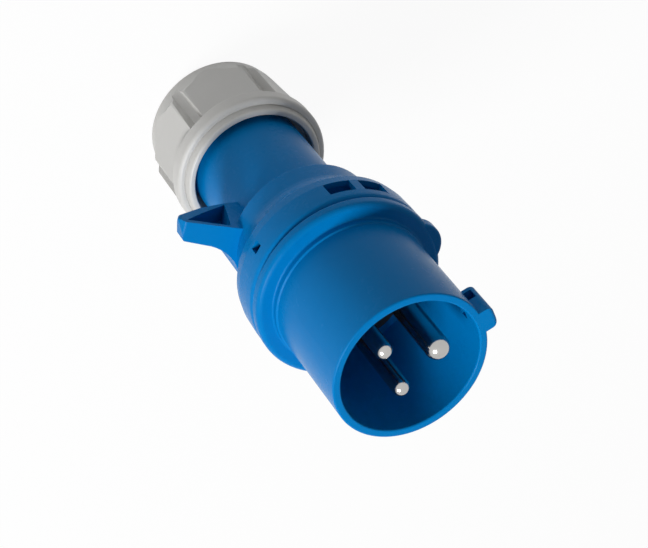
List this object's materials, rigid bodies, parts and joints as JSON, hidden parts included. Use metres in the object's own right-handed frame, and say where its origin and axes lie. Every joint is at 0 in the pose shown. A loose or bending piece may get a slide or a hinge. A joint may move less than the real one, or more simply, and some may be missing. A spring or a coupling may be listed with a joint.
{
  "type": "industrial pin and sleeve plug",
  "caption": "Round pin and sleeve plug with contact pins in a keyed sleeve, a twist closure, an eared handle and a screwed cable gland.",
  "frame": {"origin": "on the plug's axis, at the rear face of the gland nut, on which the plug stands", "axes": "+Z along the axis from the nut towards the sleeve's mouth, +X along the handle's ear"},
  "size_m": [0.0665, 0.055, 0.135],
  "materials": {
    "blue_plastic": "moulded, fine satin",
    "grey_plastic": "moulded, satin",
    "insert_plastic": "moulded, matt",
    "natural_nylon": "moulded, satin",
    "nickel_plate": "bright nickel plate on turned brass",
    "zinc_steel": "zinc plated",
    "black_rubber": "moulded rubber"
  },
  "bodies": {
    "handle": {"rear_housing": "blue_plastic", "cable_seal": "black_rubber", "clamp_collet": "natural_nylon"},
    "sleeve_half": {"front_sleeve": "blue_plastic", "carrier_gasket": "black_rubber", "contact_carrier": "insert_plastic", "carrier_cover": "insert_plastic", "cover_screws": "zinc_steel", "retaining_ring": "zinc_steel", "pin_earth": "nickel_plate", "pin_line": "nickel_plate", "pin_neutral": "nickel_plate", "leaf_earth": "zinc_steel", "leaf_line": "zinc_steel", "leaf_neutral": "zinc_steel", "screw_earth": "zinc_steel", "screw_line": "zinc_steel", "screw_neutral": "zinc_steel", "closure_o_ring": "black_rubber"},
    "gland_ring": {"pressure_ring": "grey_plastic"},
    "nut": {"gland_nut": "grey_plastic"}
  },
  "joints": [
    {"name": "closure_twist", "type": "hinge", "parent": "handle", "child": "sleeve_half", "pos_m": [0, 0, 0.09], "axis": [0, 0, 1], "range_deg": [-37.5, 0]},
    {"name": "gland_travel", "type": "slide", "parent": "handle", "child": "gland_ring", "axis": [0, 0, 1], "range_m": [-0.0075, 0]},
    {"name": "nut_turn", "type": "hinge", "parent": "gland_ring", "child": "nut", "pos_m": [0, 0, 0.015], "axis": [0, 0, 1], "range_deg": [-900, 0]}
  ],
  "couplings": [
    {"joint": "gland_travel", "follows": "nut_turn", "m_per_rad": 0.00047746}
  ]
}
